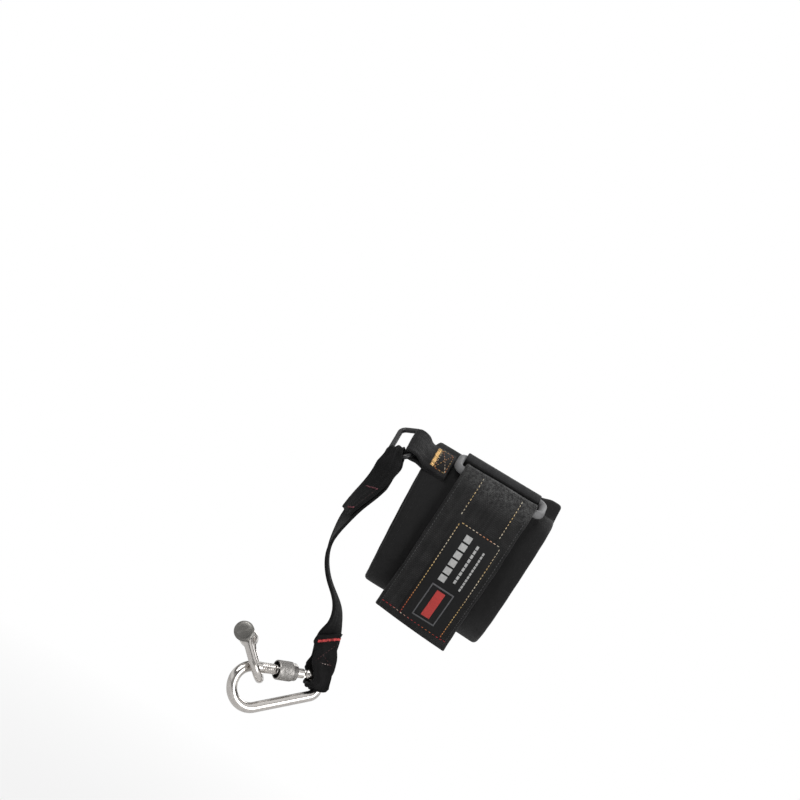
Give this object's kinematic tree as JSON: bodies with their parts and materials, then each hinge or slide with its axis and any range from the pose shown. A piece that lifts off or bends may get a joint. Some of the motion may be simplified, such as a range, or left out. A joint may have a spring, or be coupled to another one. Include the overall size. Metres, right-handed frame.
{
  "type": "tool tether wristband",
  "caption": "Padded wristband with a hook-and-loop strap through a ring, and a webbing lanyard that ends in a screw-gate carabiner and a shackle for a hand tool.",
  "frame": {"origin": "middle of the cuff's bore, where the wrist goes through", "axes": "+X along the forearm from hand to elbow, +Z across the bore toward the ring, -Y toward the strap's front"},
  "size_m": [0.1001, 0.0729, 0.1543],
  "materials": {
    "cuff_cloth": "brushed black loop fabric",
    "cuff_padding": "soft black foam and knit lining",
    "webbing": "woven black webbing",
    "hook_tape": "black hook tape",
    "label": "fine black cloth with a stitched border",
    "grey_plastic": "moulded mid grey",
    "black_plastic": "smooth black",
    "orange_thread": "dense orange thread",
    "red_thread": "dense red thread",
    "steel": "polished stainless steel",
    "satin_steel": "satin stainless steel, knurled on the sleeve"
  },
  "bodies": {
    "cuff": {"cuff_cloth": "cuff_cloth", "cuff_padding": "cuff_padding", "cuff_lining": "cuff_padding", "cuff_edge_hand": "cuff_cloth", "cuff_edge_elbow": "cuff_cloth", "buckle_ring": "grey_plastic", "buckle_anchor": "webbing", "strap_base": "webbing", "side_loop": "webbing", "side_tack": "orange_thread"},
    "tab": {"pull_tab": "webbing", "tab_hook_patch": "hook_tape", "tab_label": "label"},
    "ring": {"small_ring": "black_plastic"},
    "lanyard": {"lanyard_strap": "webbing", "lanyard_upper_loop": "webbing", "lanyard_lower_loop": "webbing", "lanyard_tack_1": "red_thread", "lanyard_tack_2": "red_thread", "lanyard_tack_3": "red_thread"},
    "carabiner": {"carabiner_frame": "steel", "carabiner_hinge_pin": "steel"},
    "gate": {"carabiner_gate": "steel"},
    "sleeve": {"carabiner_sleeve": "satin_steel"},
    "shackle": {"shackle_bow": "steel"},
    "pin": {"shackle_pin": "satin_steel"}
  },
  "joints": [
    {"name": "tab_peel", "type": "hinge", "parent": "cuff", "child": "tab", "pos_m": [0.0021, -0.0201, 0.032], "axis": [-1, 0, 0], "range_deg": [0, 75]},
    {"name": "ring_swing", "type": "hinge", "parent": "cuff", "child": "ring", "pos_m": [-0.042, -0.01388, 0.02853], "axis": [0, 0.7975, 0.6034], "range_deg": [-5, 50]},
    {"name": "lanyard_swing", "type": "hinge", "parent": "ring", "child": "lanyard", "pos_m": [-0.04724, -0.02091, 0.01942], "axis": [-0.866, 0.3017, -0.3987], "range_deg": [-10, 45]},
    {"name": "carabiner_swing", "type": "hinge", "parent": "lanyard", "child": "carabiner", "pos_m": [-0.0276, -0.026, -0.0918], "axis": [0.4074, -0.8829, 0.2333], "range_deg": [-20, 60]},
    {"name": "gate_hinge", "type": "hinge", "parent": "carabiner", "child": "gate", "pos_m": [-0.02988, -0.02587, -0.08732], "axis": [0.4074, -0.8829, 0.2333], "range_deg": [0, 25], "stiffness_Nm_per_rad": 0.02, "springref_deg": -22.92},
    {"name": "sleeve_slide", "type": "slide", "parent": "gate", "child": "sleeve", "axis": [-0.834, -0.4638, -0.2988], "range_m": [0, 0.0045]},
    {"name": "shackle_swing", "type": "hinge", "parent": "carabiner", "child": "shackle", "pos_m": [-0.05269, -0.03855, -0.0955], "axis": [0.834, 0.4638, 0.2988], "range_deg": [-20, 20]},
    {"name": "pin_slide", "type": "slide", "parent": "shackle", "child": "pin", "axis": [-0.1908, -0.9659, 0.1749], "range_m": [0, 0.02]}
  ]
}
